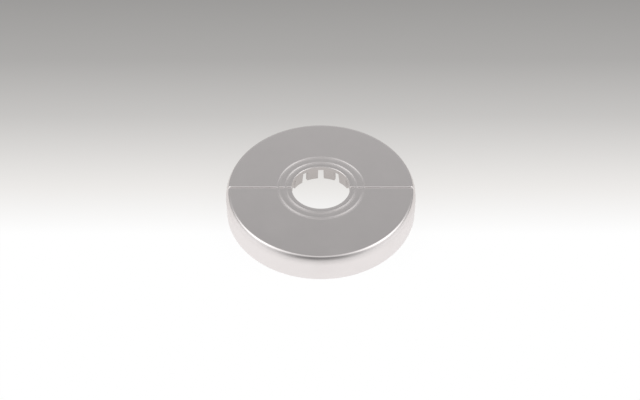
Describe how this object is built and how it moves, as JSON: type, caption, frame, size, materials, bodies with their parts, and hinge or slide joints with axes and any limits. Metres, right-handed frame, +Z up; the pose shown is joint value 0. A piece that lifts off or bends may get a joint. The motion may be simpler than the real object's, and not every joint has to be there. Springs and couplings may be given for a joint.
{
  "type": "radiator pipe collar",
  "caption": "Round split collar that covers the hole round a radiator pipe: a flat chrome-plated disc with a low skirt, scored rings round its bore and halves that push together.",
  "frame": {"origin": "on the pipe's axis, in the plane of the surface that the collar lies on", "axes": "+Z up the pipe, out of the surface; the seam between the halves lies along X, and the halves part along Y"},
  "size_m": [0.0522, 0.0522, 0.008],
  "materials": {
    "bright_plating": "smooth chrome plating on moulded plastic, slightly soft in its reflections"
  },
  "bodies": {
    "rear": {"rear_half": "bright_plating"},
    "front": {"front_half": "bright_plating"}
  },
  "joints": [
    {"name": "front_half_pull", "type": "slide", "parent": "rear", "child": "front", "axis": [0, -1, 0], "range_m": [0, 0.03]}
  ]
}
